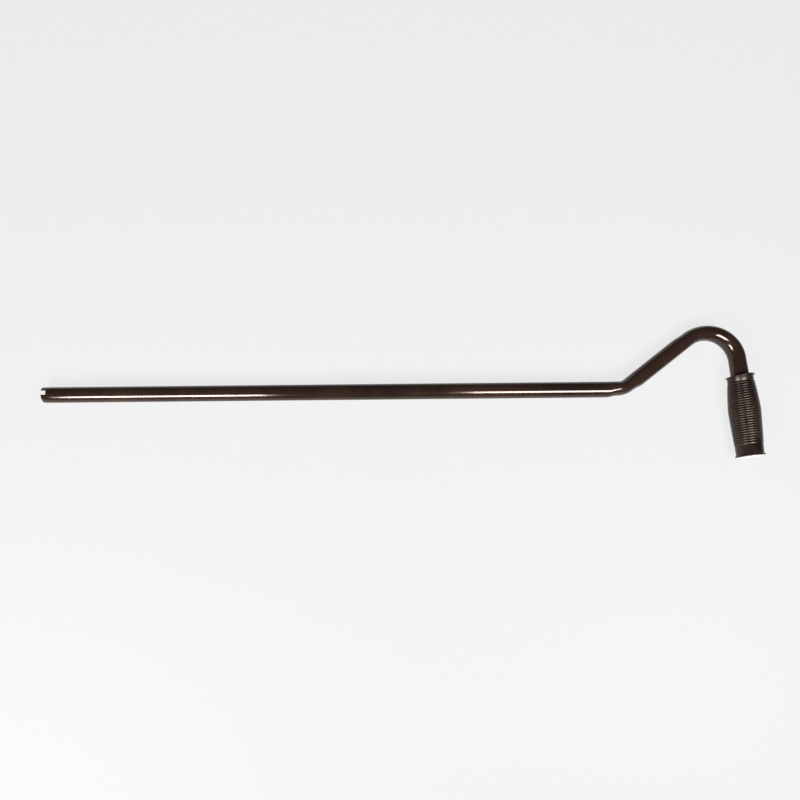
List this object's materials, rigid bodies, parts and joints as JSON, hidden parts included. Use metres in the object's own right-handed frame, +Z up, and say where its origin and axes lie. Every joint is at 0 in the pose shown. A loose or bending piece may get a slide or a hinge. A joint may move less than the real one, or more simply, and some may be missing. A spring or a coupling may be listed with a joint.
{
  "type": "crank handle",
  "caption": "Long bent steel tube with a slotted open drive end and a ribbed rubber grip on its offset end, for turning a shaft that has a cross pin.",
  "frame": {"origin": "centre of the open mouth at the drive end, on the axis of the shank", "axes": "+X along the shank from the mouth towards the grip, within half a degree; +Y towards the hook; +Z up from the floor that the handle lies on"},
  "size_m": [1.0189, 0.1897, 0.0402],
  "materials": {
    "tube_paint": "gloss black paint",
    "grip_rubber": "satin moulded rubber"
  },
  "bodies": {
    "root": {"handle_tube": "tube_paint", "grip": "grip_rubber"}
  },
  "joints": []
}
